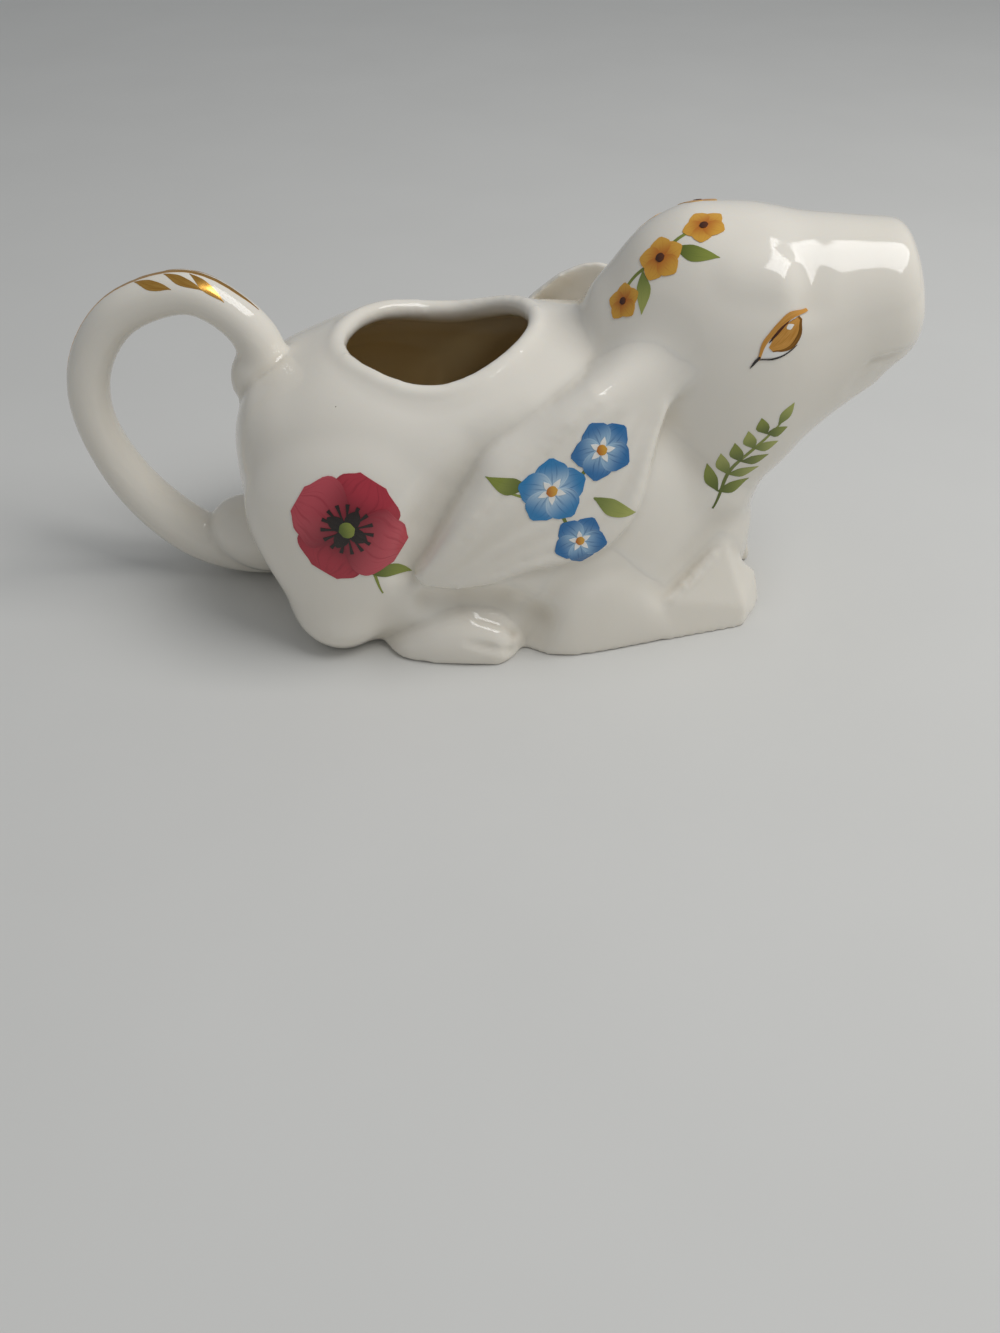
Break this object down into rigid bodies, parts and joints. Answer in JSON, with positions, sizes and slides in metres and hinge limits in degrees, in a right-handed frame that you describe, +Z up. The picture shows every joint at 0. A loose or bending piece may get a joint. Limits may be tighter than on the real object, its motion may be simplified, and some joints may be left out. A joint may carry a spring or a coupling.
{
  "type": "bunny pitcher",
  "caption": "Hollow crouching-rabbit pitcher in white glazed porcelain, filled through its back, poured from the mouth and held by a loop handle.",
  "frame": {"origin": "on the ground under the middle of the whole pitcher", "axes": "+X along the pitcher to the rabbit's nose, +Y to the rabbit's left, +Z up"},
  "size_m": [0.18, 0.0724, 0.0885],
  "materials": {
    "porcelain": "warm white body under a clear glossy glaze",
    "gilding": "burnished bright gold, brushed on over the glaze"
  },
  "bodies": {
    "root": {"body_shell": "porcelain", "head_shell": "porcelain", "handle": "porcelain", "tail": "porcelain", "right_ear": "porcelain", "left_ear": "porcelain", "right_foreleg": "porcelain", "left_foreleg": "porcelain", "right_hind_foot": "porcelain", "left_hind_foot": "porcelain", "right_eye": "gilding", "left_eye": "gilding"}
  },
  "joints": []
}
